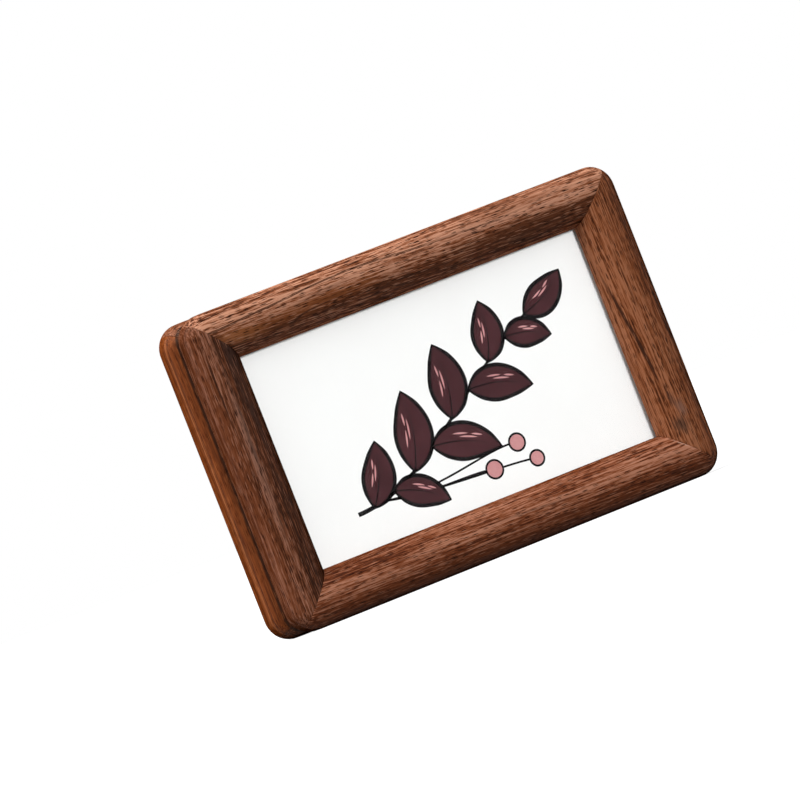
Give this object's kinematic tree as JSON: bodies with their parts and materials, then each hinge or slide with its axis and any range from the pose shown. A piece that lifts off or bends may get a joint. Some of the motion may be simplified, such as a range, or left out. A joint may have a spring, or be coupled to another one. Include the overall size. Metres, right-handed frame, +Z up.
{
  "type": "picture frame",
  "caption": "Small double-sided desk picture frame: two rounded, mitred walnut leaves back to back, held by corner magnets, each with a clear panel, a picture card and a backing board.",
  "frame": {"origin": "bottom centre of the whole frame: on the ground below the middle of the seam between the two leaves", "axes": "+X along the long rails, towards the right as seen from the front; +Y from the front leaf to the rear leaf; +Z up with the frame standing in landscape"},
  "size_m": [0.104, 0.0182, 0.068],
  "materials": {
    "walnut_light": "satin",
    "walnut_mid": "satin",
    "walnut_dark": "satin",
    "walnut_red": "satin",
    "clear_acrylic": "polished",
    "picture_card": "satin",
    "fibreboard": "matte",
    "nickel": "satin"
  },
  "bodies": {
    "front_leaf": {"front_top_rail": "walnut_light", "front_bottom_rail": "walnut_mid", "front_left_rail": "walnut_dark", "front_right_rail": "walnut_red", "front_glazing": "clear_acrylic", "front_picture_card": "picture_card", "front_backing_board": "fibreboard", "front_magnet_top_left": "nickel", "front_magnet_top_right": "nickel", "front_magnet_bottom_left": "nickel", "front_magnet_bottom_right": "nickel"},
    "rear_leaf": {"rear_top_rail": "walnut_mid", "rear_bottom_rail": "walnut_mid", "rear_left_rail": "walnut_red", "rear_right_rail": "walnut_dark", "rear_glazing": "clear_acrylic", "rear_picture_card": "picture_card", "rear_backing_board": "fibreboard", "rear_magnet_top_left": "nickel", "rear_magnet_top_right": "nickel", "rear_magnet_bottom_left": "nickel", "rear_magnet_bottom_right": "nickel"}
  },
  "joints": [
    {"name": "rear_leaf_pull", "type": "slide", "parent": "front_leaf", "child": "rear_leaf", "axis": [0, 1, 0], "range_m": [0, 0.03]}
  ]
}
